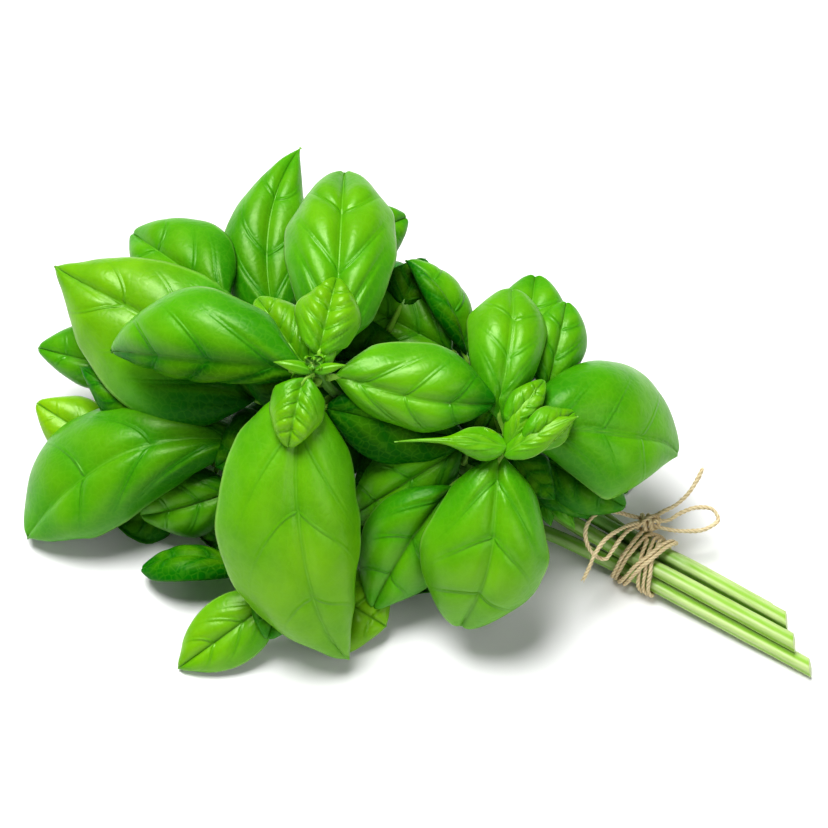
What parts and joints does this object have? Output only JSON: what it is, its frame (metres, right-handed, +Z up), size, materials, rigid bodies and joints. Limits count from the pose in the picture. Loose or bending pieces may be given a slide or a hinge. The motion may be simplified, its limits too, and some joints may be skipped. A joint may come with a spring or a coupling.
{
  "type": "basil bunch",
  "caption": "Bunch of fresh basil, leafy stems tied near their cut ends with a bow of jute twine, lying on its side.",
  "frame": {"origin": "on the surface the bunch lies on, under the middle of its bounding box without the loose twine", "axes": "+Z up, +X from the leafy head to the cut stem ends, +Y to the far side of the leaf rosettes' face"},
  "size_m": [0.2788, 0.1674, 0.0964],
  "materials": {
    "leaf": "satin, slightly puckered, paler below",
    "young_leaf": "satin, pale green",
    "stem": "smooth, pale green, square with rounded corners",
    "twine": "rough twisted jute"
  },
  "bodies": {
    "root": {"leaf_under_1": "leaf", "leaf_under_2": "leaf", "leaf_under_3": "leaf", "leaf_under_4": "leaf", "leaf_under_5": "leaf", "leaf_under_6": "leaf", "leaf_under_7": "leaf", "leaf_under_8": "leaf", "leaf_under_9": "leaf", "stem_back": "stem", "stem_lower": "stem", "leaf_far_1": "leaf", "leaf_far_2": "leaf", "leaf_far_3": "leaf", "stem_upper": "stem", "leaf_inner_2": "leaf", "leaf_lower_1": "leaf", "leaf_lower_2": "leaf", "leaf_lower_3": "leaf", "leaf_lower_4": "leaf", "leaf_upper_1": "leaf", "leaf_upper_2": "leaf", "leaf_upper_3": "leaf", "leaf_upper_4": "leaf", "leaf_lower_5": "leaf", "leaf_inner_1": "leaf", "stem_front": "stem", "leaf_front_1": "leaf", "leaf_lower_6": "leaf", "leaf_lower_7": "leaf", "leaf_lower_8": "leaf", "stem_right": "stem", "leaf_right_1": "leaf", "leaf_front_2": "leaf", "leaf_right_10": "leaf", "leaf_right_2": "leaf", "leaf_right_3": "leaf", "leaf_upper_5": "leaf", "leaf_upper_6": "leaf", "leaf_right_4": "leaf", "leaf_right_5": "leaf", "leaf_right_6": "leaf", "leaf_front_3": "young_leaf", "leaf_front_4": "leaf", "leaf_front_5": "leaf", "leaf_front_6": "leaf", "leaf_front_7": "leaf", "leaf_right_7": "young_leaf", "leaf_right_8": "young_leaf", "leaf_right_9": "young_leaf", "leaf_front_8": "young_leaf", "leaf_front_9": "young_leaf", "bud_front": "young_leaf", "bud_right": "young_leaf", "twine_wraps": "twine", "twine_knot": "twine", "twine_loop_right": "twine", "twine_end_right": "twine", "twine_loop_left": "twine", "twine_end_left": "twine"}
  },
  "joints": []
}
